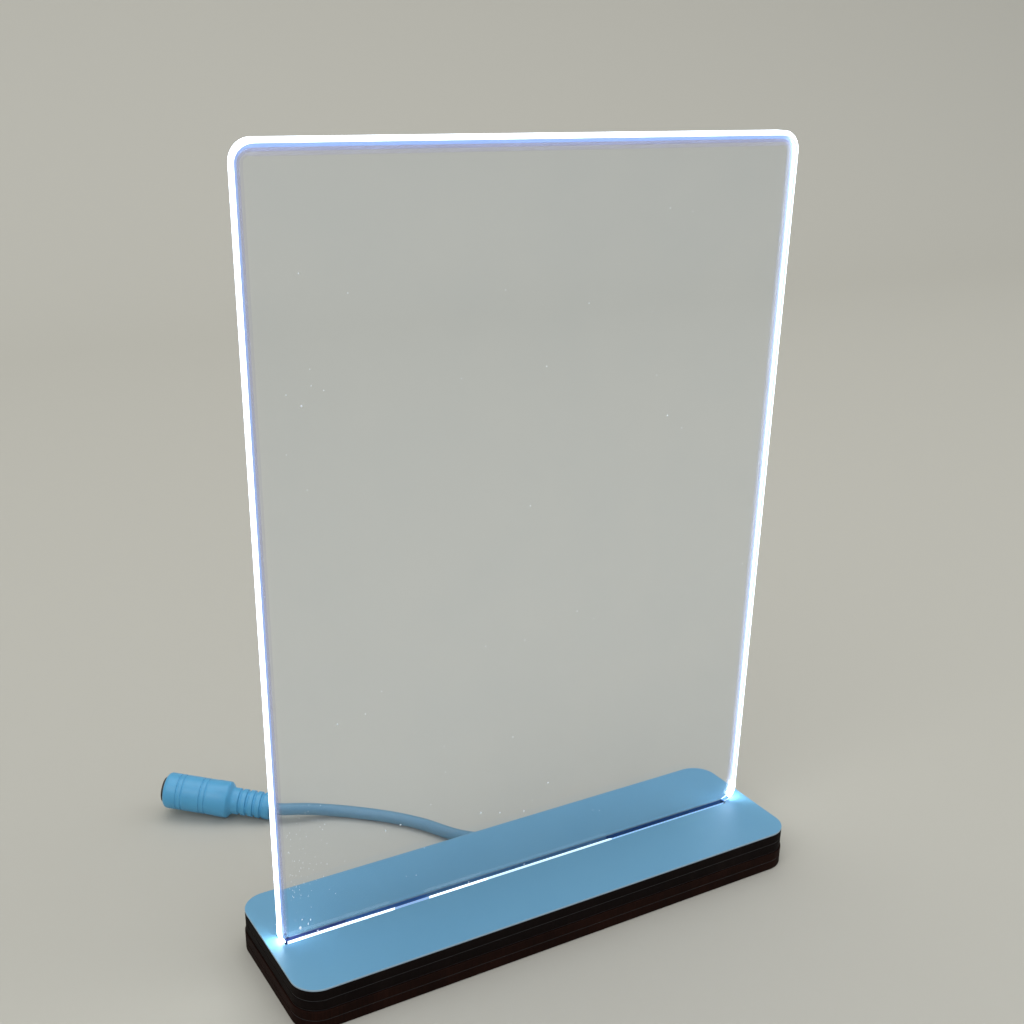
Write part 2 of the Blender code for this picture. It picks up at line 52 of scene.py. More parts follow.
azimuth, elevation, roll = (math.radians(angle) for angle in (-30.953, 23.446, 1.146))
back = Vector(
    (
        math.sin(azimuth) * math.cos(elevation),
        -math.cos(azimuth) * math.cos(elevation),
        math.sin(elevation),
    )
)
level = Vector((0.0, 0.0, 1.0)).cross(back).normalized()
rise = back.cross(level)
across = level * math.cos(roll) + rise * math.sin(roll)
upward = rise * math.cos(roll) - level * math.sin(roll)
camera = bpy.data.objects.new("camera", bpy.data.cameras.new("camera"))
bpy.context.scene.collection.objects.link(camera)
turn = Matrix((across, upward, back)).transposed().to_4x4()
camera.matrix_world = Matrix.Translation(Vector((-165.7, -264.5, 221.75)) * MM) @ turn
camera.data.lens = 45.86
camera.data.sensor_width = 36.0
camera.data.shift_y = 0.1068
camera.data.clip_start = 10 * MM
bpy.context.scene.camera = camera
bpy.context.scene.view_settings.view_transform = "Standard"


# The studio: one sheet of plain pale board, flat under the lamp and swept up behind it,
# with large soft boxes overhead and to the sides and an even room. The board is matt.
def hex_colour(text):
    """An sRGB hex value as a linear colour."""
    shares = [int(text[i : i + 2], 16) / 255 for i in (1, 3, 5)]
    linear = [s / 12.92 if s <= 0.04045 else ((s + 0.055) / 1.055) ** 2.4 for s in shares]
    return (*linear, 1.0)


def add_node(tree, kind, inputs=None, **settings):
    """A node with its settings. Each input is a value, or the output that feeds it."""
    node = tree.nodes.new(kind)
    for name, value in settings.items():
        setattr(node, name, value)
    for socket, value in (inputs or {}).items():
        if isinstance(value, bpy.types.NodeSocket):
            tree.links.new(value, node.inputs[socket])
        else:
            node.inputs[socket].default_value = value
    return node


def new_material(name, **surface):
    """A material with its node tree and its Principled shader, whose sockets are set by name."""
    made = bpy.data.materials.new(name)
    made.use_nodes = True
    shader = made.node_tree.nodes["Principled BSDF"]
    for socket, value in surface.items():
        shader.inputs[socket.replace("_", " ").title().replace("Ior", "IOR")].default_value = value
    return made, made.node_tree, shader


def link_mesh(name, bm, materials, smooth_angle=30.0):
    """The bmesh as an object with its materials, shaded smooth between its sharp edges."""
    bmesh.ops.recalc_face_normals(bm, faces=bm.faces)
    mesh = bpy.data.meshes.new(name)
    bm.to_mesh(mesh)
    bm.free()
    mesh.shade_smooth()
    mesh.set_sharp_from_angle(angle=math.radians(smooth_angle))
    for surface in materials:
        mesh.materials.append(surface)
    made = bpy.data.objects.new(name, mesh)
    bpy.context.scene.collection.objects.link(made)
    return made


board = new_material(
    "matt_studio_board",
    base_color=hex_colour("#BCBAB0"),
    roughness=0.9,
    specular_ior_level=0.1,
)[0]
near_end, flat_end, sweep_r, wall_top, half_width = -4.0, 0.8, 0.6, 2.6, 4.0
sweep_steps, floor_z = 16, -0.05 * MM
profile = [(near_end, 0.0), (flat_end, 0.0)]
for i in range(1, sweep_steps + 1):
    angle = math.pi / 2 * i / sweep_steps
    profile.append((flat_end + sweep_r * math.sin(angle), sweep_r * (1 - math.cos(angle))))
profile.append((flat_end + sweep_r, wall_top))
bm = bmesh.new()
rows = [
    [bm.verts.new((x, y, z + floor_z)) for y, z in profile] for x in (-half_width, half_width)
]
for i in range(len(profile) - 1):
    bm.faces.new((rows[0][i], rows[1][i], rows[1][i + 1], rows[0][i + 1]))
sweep = link_mesh("studio_board", bm, [board])

world = bpy.data.worlds.new("studio_room")
bpy.context.scene.world = world
world.use_nodes = True
room = world.node_tree.nodes["Background"]
room.inputs["Color"].default_value = hex_colour("#F4F6FA")
room.inputs["Strength"].default_value = 0.8
for name, place, size, power in (
    ("top_soft_box", (0.0, 0.6, 2.6), 2.4, 23.0),
    ("left_soft_box", (-1.8, -0.9, 1.9), 1.4, 10.4),
    ("right_soft_box", (1.7, -0.8, 1.9), 1.2, 4.6),
):
    lamp = bpy.data.lights.new(name, "AREA")
    lamp.size = size
    lamp.energy = power
    lamp_object = bpy.data.objects.new(name, lamp)
    bpy.context.scene.collection.objects.link(lamp_object)
    lamp_object.location = place
    lamp_object.rotation_euler = (-Vector(place)).to_track_quat("-Z", "Y").to_euler()


# The bottom board: a sheet of fibreboard cut by laser, which closes the channel from
# below. The beam leaves its edge dark brown and finely streaked, and the faces stay raw.
def arc(centre, radius, start_deg, end_deg, steps=16):
    """Points along an arc, both ends included."""
    points = []
    for i in range(steps + 1):
        angle = math.radians(start_deg + (end_deg - start_deg) * i / steps)
        points.append((centre[0] + radius * math.cos(angle), centre[1] + radius * math.sin(angle)))
    return points


def rounded_outline(node, radius):
    """The rounded rectangle of a board's solid, anticlockwise from its right-hand end."""
    low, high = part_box(node)
    x, y = high.x - radius, high.y - radius
    outline = []
    for centre, start in (((x, y), 0), ((-x, y), 90), ((-x, -y), 180), ((x, -y), 270)):
        outline += arc(centre, radius, start, start + 90)
    return outline


def drawn_in(loop, distance):
    """The loop's points moved to its left, into the material, by an even distance."""
    moved = []
    for i, (x, y) in enumerate(loop):
        before = Vector(loop[i - 1])
        here = Vector((x, y))
        after = Vector(loop[(i + 1) % len(loop)])
        first = (here - before).normalized().orthogonal()
        second = (after - here).normalized().orthogonal()
        if (here - before).cross(first) < 0:
            first, second = -first, -second
        moved.append(tuple(here + (first + second) * distance / (1 + first.dot(second))))
    return moved


def cut_sheet(name, loops, bottom, top, arris, materials, rim_width=0.0):
    """A flat sheet with its holes, whose edges have a small worn arris on both sides.

    The first material is the edge's. It reaches rim_width over the faces, and the second
    one is the faces' own.
    """
    bm = bmesh.new()
    rims = ([], [])
    for loop in loops:
        inner = drawn_in(loop, arris)
        rim = drawn_in(loop, arris + rim_width) if rim_width else inner
        sections = [(rim, bottom)] if rim_width else []
        sections += [(inner, bottom), (loop, bottom + arris), (loop, top - arris), (inner, top)]
        sections += [(rim, top)] if rim_width else []
        levels = [[bm.verts.new((x, y, z)) for x, y in points] for points, z in sections]
        count = len(loop)
        for lower, upper in zip(levels, levels[1:]):
            for i in range(count):
                j = (i + 1) % count
                bm.faces.new((lower[i], lower[j], upper[j], upper[i]))
        for rim, verts in zip(rims, (levels[0], levels[-1])):
            rim += [bm.edges.get((verts[i], verts[(i + 1) % count])) for i in range(count)]
    for rim in rims:
        filled = bmesh.ops.triangle_fill(bm, edges=rim, use_beauty=True)["geom"]
        for face in filled:
            if isinstance(face, bmesh.types.BMFace) and rim_width:
                face.material_index = 1
    return link_mesh(name, bm, materials)


def fibreboard_edge(name, dark, light, roughness):
    """Laser-cut fibreboard edge: a charred brown with upright streaks 0.5 mm apart."""
    made, tree, shader = new_material(name, specular_ior_level=0.05)
    place = add_node(tree, "ShaderNodeTexCoord").outputs["Object"]
    streak_mm, streak_length_mm, blotch_mm = 0.5, 5.0, 9.0
    stretched = add_node(
        tree,
        "ShaderNodeMapping",
        {
            "Vector": place,
            "Scale": (1 / (streak_mm * MM), 1 / (streak_mm * MM), 1 / (streak_length_mm * MM)),
        },
    )
    streaks = add_node(
        tree,
        "ShaderNodeTexNoise",
        {"Vector": stretched.outputs["Vector"], "Scale": 1.0, "Detail": 3.0},
    )
    blotches = add_node(
        tree, "ShaderNodeTexNoise", {"Vector": place, "Scale": 1 / (blotch_mm * MM), "Detail": 4.0}
    )
    mixed = add_node(
        tree,
        "ShaderNodeMath",
        {0: streaks.outputs["Fac"], 1: blotches.outputs["Fac"]},
        operation="ADD",
    )
    shade = add_node(
        tree,
        "ShaderNodeMapRange",
        {"Value": mixed.outputs["Value"], "From Min": 0.75, "From Max": 1.3},
    )
    colour = add_node(
        tree,
        "ShaderNodeMix",
        {"Factor": shade.outputs["Result"], 6: hex_colour(dark), 7: hex_colour(light)},
        data_type="RGBA",
    )
    polish = add_node(
        tree,
        "ShaderNodeMapRange",
        {"Value": mixed.outputs["Value"], "To Min": roughness - 0.1, "To Max": roughness + 0.1},
    )
    relief = add_node(
        tree,
        "ShaderNodeBump",
        {"Height": streaks.outputs["Fac"], "Strength": 0.5, "Distance": 0.08 * MM},
    )
    tree.links.new(colour.outputs[2], shader.inputs["Base Color"])
    tree.links.new(polish.outputs["Result"], shader.inputs["Roughness"])
    tree.links.new(relief.outputs["Normal"], shader.inputs["Normal"])
    return made


brown_edge = fibreboard_edge("brown_laser_cut_edge", "#140805", "#22100A", 0.6)
# The pressed face of fibreboard: a matt, pale brown felt of fibres about 0.8 mm long.
raw_face, tree, shader = new_material("raw_fibreboard_face", roughness=0.8)
fibre_mm, cloud_mm = 0.8, 14.0
place = add_node(tree, "ShaderNodeTexCoord").outputs["Object"]
fibres = add_node(
    tree,
    "ShaderNodeTexNoise",
    {"Vector": place, "Scale": 1 / (fibre_mm * MM), "Detail": 5.0, "Distortion": 1.5},
)
clouds = add_node(
    tree, "ShaderNodeTexNoise", {"Vector": place, "Scale": 1 / (cloud_mm * MM), "Detail": 2.0}
)
mixed = add_node(
    tree, "ShaderNodeMath", {0: fibres.outputs["Fac"], 1: clouds.outputs["Fac"]}, operation="ADD"
)
shade = add_node(
    tree, "ShaderNodeMapRange", {"Value": mixed.outputs["Value"], "From Min": 0.7, "From Max": 1.3}
)
colour = add_node(
    tree,
    "ShaderNodeMix",
    {"Factor": shade.outputs["Result"], 6: hex_colour("#6B4B33"), 7: hex_colour("#9A7654")},
    data_type="RGBA",
)
relief = add_node(
    tree,
    "ShaderNodeBump",
    {"Height": fibres.outputs["Fac"], "Strength": 0.3, "Distance": 0.05 * MM},
)
tree.links.new(colour.outputs[2], shader.inputs["Base Color"])
tree.links.new(relief.outputs["Normal"], shader.inputs["Normal"])
board_arris, scorch_width = 0.16 * MM, 0.9 * MM
lower_corner_r, upper_corner_r = 7.3 * MM, 7.0 * MM
low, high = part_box("bottom_board")
lower_outline = rounded_outline("bottom_board", lower_corner_r)
bottom_board = cut_sheet(
    "bottom_board_sheet",
    [lower_outline],
    low.z,
    high.z,
    board_arris,
    [brown_edge, raw_face],
    scorch_width,
)
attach(bottom_board, "base")
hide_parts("bottom_board")

# The LED strip: a white flexible circuit of two cut lengths, taped to the bottom board.
# Its copper pads show at each cut line, and the tape's edge shows under it.
strip_low, strip_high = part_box("led_strip")
tape_low, tape_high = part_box("strip_tape")


def box_part(bm, low, high, material_index=0, bevel=0.0):
    """A box between two corners, with its edges broken if bevel isn't nought."""
    middle = (Vector(low) + Vector(high)) / 2
    size = Vector(high) - Vector(low)
    placed = Matrix.Translation(middle) @ Matrix.Diagonal((*size, 1.0))
    made = bmesh.ops.create_cube(bm, size=1.0, matrix=placed)
    faces = [face for vert in made["verts"] for face in vert.link_faces]
    if bevel:
        edges = list(dict.fromkeys(edge for vert in made["verts"] for edge in vert.link_edges))
        done = bmesh.ops.bevel(
            bm, geom=edges, offset=bevel, segments=2, profile=0.5, affect="EDGES"
        )
        faces = [face for face in faces if face.is_valid] + done["faces"]
    for face in faces:
        face.material_index = material_index


def speckled_surface(name, dark, light, speck_mm, **surface):
    """A surface whose colour wanders between two tones in specks of the given size."""
    made, tree, shader = new_material(name, **surface)
    place = add_node(tree, "ShaderNodeTexCoord").outputs["Object"]
    specks = add_node(tree, "ShaderNodeTexNoise", {"Vector": place, "Scale": 1 / (speck_mm * MM)})
    colour = add_node(
        tree,
        "ShaderNodeMix",
        {"Factor": specks.outputs["Fac"], 6: hex_colour(dark), 7: hex_colour(light)},
        data_type="RGBA",
    )
    tree.links.new(colour.outputs[2], shader.inputs["Base Color"])
    return made


# Foam tape: matt off-white, with its open cells as specks of shade.
tape_edge = 0.04 * MM
foam = speckled_surface("acrylic_foam_tape", "#B9B9B2", "#DADAD4", speck_mm=0.3, roughness=0.85)
bm = bmesh.new()
box_part(bm, tape_low, tape_high, bevel=tape_edge)
tape = link_mesh("tape_under_strip", bm, [foam])
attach(tape, "base")
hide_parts("strip_tape")

# White solder mask over copper: satin, with the tracks under it as a faint raised tone.
mask, tree, shader = new_material("white_solder_mask", roughness=0.45)
track_mm = 2.6
place = add_node(tree, "ShaderNodeTexCoord").outputs["Object"]
tracks = add_node(
    tree,
    "ShaderNodeTexBrick",
    {
        "Vector": place,
        "Scale": 1.0,
        "Color1": hex_colour("#DEDFDB"),
        "Color2": hex_colour("#D2D4D0"),
        "Mortar": hex_colour("#C3C5C1"),
        "Mortar Size": 0.15 * MM,
        "Brick Width": 7 * track_mm * MM,
        "Row Height": track_mm * MM,
    },
)
tree.links.new(tracks.outputs["Color"], shader.inputs["Base Color"])


def bare_metal(name, colour, grain_mm, smoothest, roughest, relief_mm=0.0):
    """A metal whose polish wanders with its grain, with low relief if that isn't nought."""
    made, tree, shader = new_material(name, metallic=1.0, base_color=hex_colour(colour))
    place = add_node(tree, "ShaderNodeTexCoord").outputs["Object"]
    grain = add_node(tree, "ShaderNodeTexNoise", {"Vector": place, "Scale": 1 / (grain_mm * MM)})
    polish = add_node(
        tree,
        "ShaderNodeMapRange",
        {"Value": grain.outputs["Fac"], "To Min": smoothest, "To Max": roughest},
    )
    tree.links.new(polish.outputs["Result"], shader.inputs["Roughness"])
    if relief_mm:
        relief = add_node(
            tree,
            "ShaderNodeBump",
            {"Height": grain.outputs["Fac"], "Strength": 0.4, "Distance": relief_mm * MM},
        )
        tree.links.new(relief.outputs["Normal"], shader.inputs["Normal"])
    return made


# Tinned copper: a warm pink metal, duller in patches where the tin is thin.
copper = bare_metal(
    "tinned_copper_pad", "#D8A47C", grain_mm=0.2, smoothest=0.2, roughest=0.45
)
# Printed ink: matt black, a little thin where the screen left it.
ink = speckled_surface("black_cut_line", "#131314", "#29292B", speck_mm=0.25, roughness=0.6)
pad_length, pad_width, pad_t, pad_inset = 1.6 * MM, 1.5 * MM, 0.03 * MM, 0.1 * MM
pad_spacing, segment, strip_y = 4.6 * MM, 50.0 * MM, (strip_low.y + strip_high.y) / 2
strip_edge, half_line = 0.05 * MM, 0.1 * MM
bm = bmesh.new()
box_part(bm, strip_low, strip_high, bevel=strip_edge)
strip_top = strip_high.z
for i in range(3):
    line_x = strip_low.x + segment * i
    for side in (-1, 1):
        y = strip_y + side * pad_spacing / 2
        low_x = max(line_x - pad_length, strip_low.x + pad_inset)
        high_x = min(line_x + pad_length, strip_high.x - pad_inset)
        box_part(
            bm,
            (low_x, y - pad_width / 2, strip_top - pad_t),
            (high_x, y + pad_width / 2, strip_top + pad_t),
            1,
        )
box_part(
    bm,
    (strip_low.x + segment - half_line, strip_low.y + pad_inset, strip_top),
    (strip_low.x + segment + half_line, strip_high.y - pad_inset, strip_top + 1.5 * pad_t),
    2,
)
strip = link_mesh("strip_circuit", bm, [mask, copper, ink])
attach(strip, "base")
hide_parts("led_strip")

# The six LEDs: white moulded housings with a round cup, plated ends and a solder fillet on
# each, and the lit phosphor in the cup. Each window glows cold white.
cup_depth, cup_r, cup_flare, cup_sides = 0.75 * MM, 1.05 * MM, 0.13 * MM, 12
housing_end_gap, plating_out, plating_in = 0.02 * MM, 0.25 * MM, 0.1 * MM
fillet_out, fillet_h, fillet_end, fillet_edge = 0.22 * MM, 0.55 * MM, 0.35 * MM, 0.08 * MM
# Heat-proof white plastic: satin, and a little greyer in soft patches.
housing_white = speckled_surface(
    "moulded_led_housing", "#DADBD6", "#F0F0EC", speck_mm=1.2, roughness=0.35
)
# Solder: a bright grey metal that froze with a faint ripple.
solder = bare_metal(
    "solder", "#C9CACC", grain_mm=0.35, smoothest=0.2, roughest=0.5, relief_mm=0.05
)
# Phosphor in silicone: a grainy pale yellow that the cold white light hides while it is lit.
phosphor = speckled_surface(
    "lit_phosphor",
    "#EBDD94",
    "#F7EFB8",
    speck_mm=0.1,
    roughness=0.5,
    emission_strength=3.0,
    emission_color=hex_colour("#EAF4FF"),
)


def turned(bm, profile, steps, placed, closed=False):
    """A profile of radius and height turned about the placed Z axis, in an empty mesh."""
    verts = [bm.verts.new(placed @ Vector((radius, 0.0, height))) for radius, height in profile]
    edges = [bm.edges.new(pair) for pair in zip(verts, verts[1:])]
    if closed:
        edges.append(bm.edges.new((verts[-1], verts[0])))
    bmesh.ops.spin(
        bm,
        geom=verts + edges,
        cent=placed.translation,
        axis=placed.to_3x3() @ Vector((0.0, 0.0, 1.0)),
        angle=2 * math.pi,
        steps=steps,
        use_merge=True,
    )
    bmesh.ops.remove_doubles(bm, verts=list(bm.verts), dist=0.001 * MM)


for i in range(1, 7):
    low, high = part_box(f"led_{i}")
    middle = (low + high) / 2
    bm = bmesh.new()
    half_x = (high.x - low.x) / 2 - housing_end_gap
    half_y = (high.y - low.y) / 2 - plating_out
    corners = [(-half_x, -half_y), (half_x, -half_y), (half_x, half_y), (-half_x, half_y)]
    last_side = 360 - 360 / cup_sides
    loops = []
    for outline, z in (
        (corners, high.z),
        (corners, low.z),
        (arc((0, 0), cup_r + cup_flare, 0, last_side, cup_sides - 1), high.z),
        (arc((0, 0), cup_r, 0, last_side, cup_sides - 1), high.z - cup_depth),
    ):
        loops.append([bm.verts.new((middle.x + x, middle.y + y, z)) for x, y in outline])
    outer, foot, lip, pit = loops
    top_edges = []
    for upper, lower in ((outer, foot), (lip, pit)):
        for j in range(len(upper)):
            k = (j + 1) % len(upper)
            bm.faces.new((lower[j], lower[k], upper[k], upper[j]))
            top_edges.append(bm.edges.get((upper[j], upper[k])))
        bm.faces.new(lower)
    bmesh.ops.triangle_fill(bm, edges=top_edges, use_beauty=True)
    for side in (-1, 1):
        y_in = middle.y + side * (half_y - plating_in)
        y_out = middle.y + side * (half_y + fillet_out)
        box_part(
            bm,
            (low.x + fillet_end, min(y_in, y_out), low.z),
            (high.x - fillet_end, max(y_in, y_out), low.z + fillet_h),
            1,
            bevel=fillet_edge,
        )
    led = link_mesh(f"led_housing_{i}", bm, [housing_white, solder], 40.0)
    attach(led, "base")
    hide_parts(f"led_{i}")

    low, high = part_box(f"phosphor_{i}")
    bm = bmesh.new()
    window_r = (high.x - low.x) / 2
    dome = [(0.0, 0.0), (window_r, 0.0), (window_r, (high.z - low.z) * 0.6)]
    dome += [(window_r * 0.7, (high.z - low.z) * 0.9), (0.0, high.z - low.z)]
    turned(bm, dome, 24, Matrix.Translation((middle.x, middle.y, low.z)))
    window = link_mesh(f"led_window_{i}", bm, [phosphor], 50.0)
    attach(window, "base")
    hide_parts(f"phosphor_{i}")

# The two resistors, one on each cut length: a black glazed film on a white ceramic chip,
# with tinned ends soldered down.
# The glaze is smooth and black, with a fine grey fleck.
glaze = speckled_surface(
    "black_resistor_glaze", "#141416", "#242427", speck_mm=0.15, roughness=0.3
)
cap_l, cap_edge, film_edge = 0.5 * MM, 0.08 * MM, 0.04 * MM
film_side_step, film_face_step = 0.03 * MM, 0.02 * MM
for i in (1, 2):
    low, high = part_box(f"resistor_{i}")
    bm = bmesh.new()
    box_part(
        bm,
        (low.x + cap_l, low.y + film_side_step, low.z + film_face_step),
        (high.x - cap_l, high.y - film_side_step, high.z - film_face_step),
        bevel=film_edge,
    )
    for x0, x1 in ((low.x, low.x + cap_l), (high.x - cap_l, high.x)):
        box_part(bm, (x0, low.y, low.z), (x1, high.y, high.z), 1, bevel=cap_edge)
    chip = link_mesh(f"resistor_chip_{i}", bm, [glaze, solder])
    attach(chip, "base")
    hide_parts(f"resistor_{i}")

# The two leads: stranded copper in soft PVC, red for positive and black for negative. Their
# stripped ends are tinned and run into the solder on the strip's end pads.
def smooth_route(points, step):
    """Places at even steps along a smooth curve through the points."""
    route = [Vector(point) for point in points]
    route = [2 * route[0] - route[1], *route, 2 * route[-1] - route[-2]]
    dense = [route[1]]
    for before, start, end, after in zip(route, route[1:], route[2:], route[3:]):
        for i in range(1, 25):
            t = i / 24
            bend = (2 * before - 5 * start + 4 * end - after) * t**2
            twist = (3 * start - before - 3 * end + after) * t**3
            dense.append(0.5 * (2 * start + (end - before) * t + bend + twist))
    travelled = [0.0]
    for a, b in zip(dense, dense[1:]):
        travelled.append(travelled[-1] + (b - a).length)
    count = max(1, round(travelled[-1] / step))
    places, spot = [], 0
    for i in range(count + 1):
        goal = travelled[-1] * i / count
        while spot < len(dense) - 2 and travelled[spot + 1] < goal:
            spot += 1
        share = (goal - travelled[spot]) / (travelled[spot + 1] - travelled[spot])
        places.append(dense[spot].lerp(dense[spot + 1], min(1.0, share)))
    return places


def round_tube(name, places, diameter, surface, sides=6):
    """A tube with closed ends along the places."""
    curve = bpy.data.curves.new(name, "CURVE")
    curve.dimensions = "3D"
    curve.bevel_depth = diameter / 2
    curve.bevel_resolution = sides
    curve.use_fill_caps = True
    spline = curve.splines.new("POLY")
    spline.points.add(len(places) - 1)
    for point, place in zip(spline.points, places):
        point.co = (*place, 1.0)
    spline.use_smooth = True
    curve.materials.append(surface)
    made = bpy.data.objects.new(name, curve)
    bpy.context.scene.collection.objects.link(made)
    return made


def satin_plastic(
    name,
    dark,
    light,
    roughness,
    mottle_mm,
    ripple_mm,
    spread=0.06,
    detail=1.0,
    strength=0.25,
    depth_mm=0.03,
    **surface,
):
    """Plastic with an even satin colour, a faint mottle and a ripple of low relief.

    Its roughness wanders by the spread. The detail, strength and depth are the ripple's.
    """
    made, tree, shader = new_material(name, **{"ior": 1.53, **surface})
    place = add_node(tree, "ShaderNodeTexCoord").outputs["Object"]
    mottle = add_node(
        tree, "ShaderNodeTexNoise", {"Vector": place, "Scale": 1 / (mottle_mm * MM), "Detail": 3.0}
    )
    ripple = add_node(
        tree,
        "ShaderNodeTexNoise",
        {"Vector": place, "Scale": 1 / (ripple_mm * MM), "Detail": detail},
    )
    colour = add_node(
        tree,
        "ShaderNodeMix",
        {"Factor": mottle.outputs["Fac"], 6: hex_colour(dark), 7: hex_colour(light)},
        data_type="RGBA",
    )
    polish = add_node(
        tree,
        "ShaderNodeMapRange",
        {
            "Value": mottle.outputs["Fac"],
            "To Min": roughness - spread,
            "To Max": roughness + spread,
        },
    )
    relief = add_node(
        tree,
        "ShaderNodeBump",
        {"Height": ripple.outputs["Fac"], "Strength": strength, "Distance": depth_mm * MM},
    )
    tree.links.new(colour.outputs[2], shader.inputs["Base Color"])
    tree.links.new(polish.outputs["Result"], shader.inputs["Roughness"])
    tree.links.new(relief.outputs["Normal"], shader.inputs["Normal"])
    return made


cable_to_strip_end, cable_z, lead_gap = 22.0 * MM, 5.7 * MM, 1.5 * MM
cable_x = strip_high.x - cable_to_strip_end
jacket_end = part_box("cord_inner")[0].y
lead_bend_r, lead_d, lead_lift, lead_step = 2.4 * MM, 1.2 * MM, 0.2 * MM, 0.4 * MM
jacket_gap, led_overlap, slant_l, bare_end = 0.05 * MM, 1.4 * MM, 2.8 * MM, 1.2 * MM
for name, side, dark, light in (
    ("positive", 1, "#A3201B", "#B82C24"),
    ("negative", -1, "#17171A", "#232327"),
):
    insulation = satin_plastic(f"{name}_lead_pvc", dark, light, 0.35, 2.0, 0.6)
    joint_low, joint_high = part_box(f"solder_{name}")
    joint = (joint_low + joint_high) / 2
    lead_z = joint_low.z + lead_d / 2 + lead_lift
    start_x, start_y = cable_x + side * lead_gap / 2, jacket_end - jacket_gap
    bend_r = lead_bend_r + (1 - side) * lead_gap / 2
    run_y = start_y - bend_r
    last_led_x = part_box("led_6")[0].x + led_overlap
    route = [(start_x, start_y, cable_z)]
    for x, y in arc((start_x + bend_r, start_y), bend_r, 180, 270, 4)[1:]:
        fall_share = (x - start_x) / bend_r / 2
        route.append((x, y, cable_z + (lead_z - cable_z) * fall_share))
    route.append((start_x + bend_r + lead_bend_r, run_y, lead_z))
    route.append((last_led_x, run_y, lead_z))
    bend = Vector((last_led_x + slant_l, run_y, lead_z))
    pad = Vector((joint.x, joint.y, lead_z))
    end = pad - (pad - bend).normalized() * bare_end
    route += [tuple(bend), tuple(end)]
    lead = round_tube(f"lead_wire_{name}", smooth_route(route, lead_step), lead_d, insulation, 4)
    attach(lead, "base")
    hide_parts(f"lead_{name}")

    bm = bmesh.new()
    radius, height = (joint_high.x - joint_low.x) / 2, joint_high.z - joint_low.z
    heap = [(0.0, 0.0)]
    for share in (0.0, 0.15, 0.35, 0.6, 0.85):
        narrowed = radius * (1 - 0.45 * share**1.3)
        heap.append((narrowed, height * math.sin(share * math.pi / 2)))
    heap.append((0.0, height))
    turned(bm, heap, 20, Matrix.Translation((joint.x, joint.y, joint_low.z)))
    for vert in bm.verts:
        vert.co.z = min(vert.co.z, joint_high.z)
    heap_object = link_mesh(f"solder_joint_{name}", bm, [solder], 60.0)
    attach(heap_object, "base")
    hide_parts(f"solder_{name}")

# The two open frames: the middle pair of boards, cut out round the strip, with a notch at
# the back for the cable. The lower one is brown, and the upper one is charred nearly black.
charred_edge = fibreboard_edge("charred_laser_cut_edge", "#0C0706", "#150E0C", 0.6)
strip_end_gap, strip_front_gap, wire_lane, notch_half = 0.9 * MM, 0.7 * MM, 5.8 * MM, 2.2 * MM
channel_left, channel_right = strip_low.x - strip_end_gap, 69.9 * MM
channel_front, channel_back = strip_low.y - strip_front_gap, strip_high.y + wire_lane


def frame_outline(outline, back_y):
    """The board's outline with the channel let in through the cable notch.

    The notch lies between the outline's two rear corners, so it comes after the first one.
    """
    right, left = cable_x + notch_half, cable_x - notch_half
    split = len(outline) // 4
    way_in = [(right, back_y), (right, channel_back), (channel_right, channel_back)]
    way_in += [(channel_right, channel_front), (channel_left, channel_front)]
    way_in += [(channel_left, channel_back), (left, channel_back), (left, back_y)]
    return outline[:split] + way_in + outline[split:]


upper_outline = rounded_outline("upper_frame", upper_corner_r)
for node, outline, edge, slot in (
    ("lower_frame", lower_outline, brown_edge, "brown_board_edge"),
    ("upper_frame", upper_outline, charred_edge, "charred_board_edge"),
):
    low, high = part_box(node)
    loop = frame_outline(outline, high.y)
    frame_sheet = cut_sheet(
        f"{node}_sheet", [loop], low.z, high.z, board_arris, [edge, raw_face], scorch_width
    )
    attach(frame_sheet, "base")
    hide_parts(node)

# The top board: closes the channel from above and takes the panel's tab in a slot that is
# a little wider than the laminate's. It is charred like the frame below it.
slot_front, slot_back, slot_relief = -1.7 * MM, 2.3 * MM, 0.5 * MM
slot_loop = [
    (channel_left, slot_front),
    (channel_left, slot_back),
    (channel_right, slot_back),
    (channel_right, slot_front),
]
wide_slot_loop = drawn_in(slot_loop, slot_relief)
low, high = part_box("top_board")
top_board = cut_sheet(
    "top_board_sheet",
    [upper_outline, wide_slot_loop],
    low.z,
    high.z,
    board_arris,
    [charred_edge, raw_face],
    scorch_width,
)
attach(top_board, "base")
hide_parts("top_board")

# The glue between the sheets: thin dark films that stop a little short of the edges, so a
# fine shadow line shows at each joint. They are in the gaps between the solids.
film = speckled_surface("dried_wood_glue", "#070608", "#121013", speck_mm=1.5, roughness=0.55)
film_recess, film_edge = 0.12 * MM, 0.01 * MM
for below, above, outline in (
    ("bottom_board", "lower_frame", frame_outline(lower_outline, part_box("lower_frame")[1].y)),
    ("lower_frame", "upper_frame", frame_outline(upper_outline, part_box("upper_frame")[1].y)),
    ("upper_frame", "top_board", frame_outline(upper_outline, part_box("upper_frame")[1].y)),
    ("top_board", "top_laminate", None),
):
    bottom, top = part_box(below)[1].z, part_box(above)[0].z
    loops = [outline] if outline else [upper_outline, wide_slot_loop]
    loops = [drawn_in(loop, film_recess) for loop in loops]
    glue = cut_sheet(f"glue_over_{below}", loops, bottom, top, film_edge, [film])
    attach(glue, "base")

# The laminate: a thin sheet of pale blue satin plastic glued over the top board, with the
# same slot. Its cut edge is paler, partly its core and partly a painted highlight, and it shows
# a soft image of the lit panel.
satin = satin_plastic(
    "satin_blue_laminate",
    "#639CBE",
    "#6FA6C5",
    roughness=0.46,
    mottle_mm=35.0,
    ripple_mm=0.7,
    spread=0.04,
    detail=2.0,
    strength=0.2,
    depth_mm=0.02,
    ior=1.5,
    specular_ior_level=0.35,
)
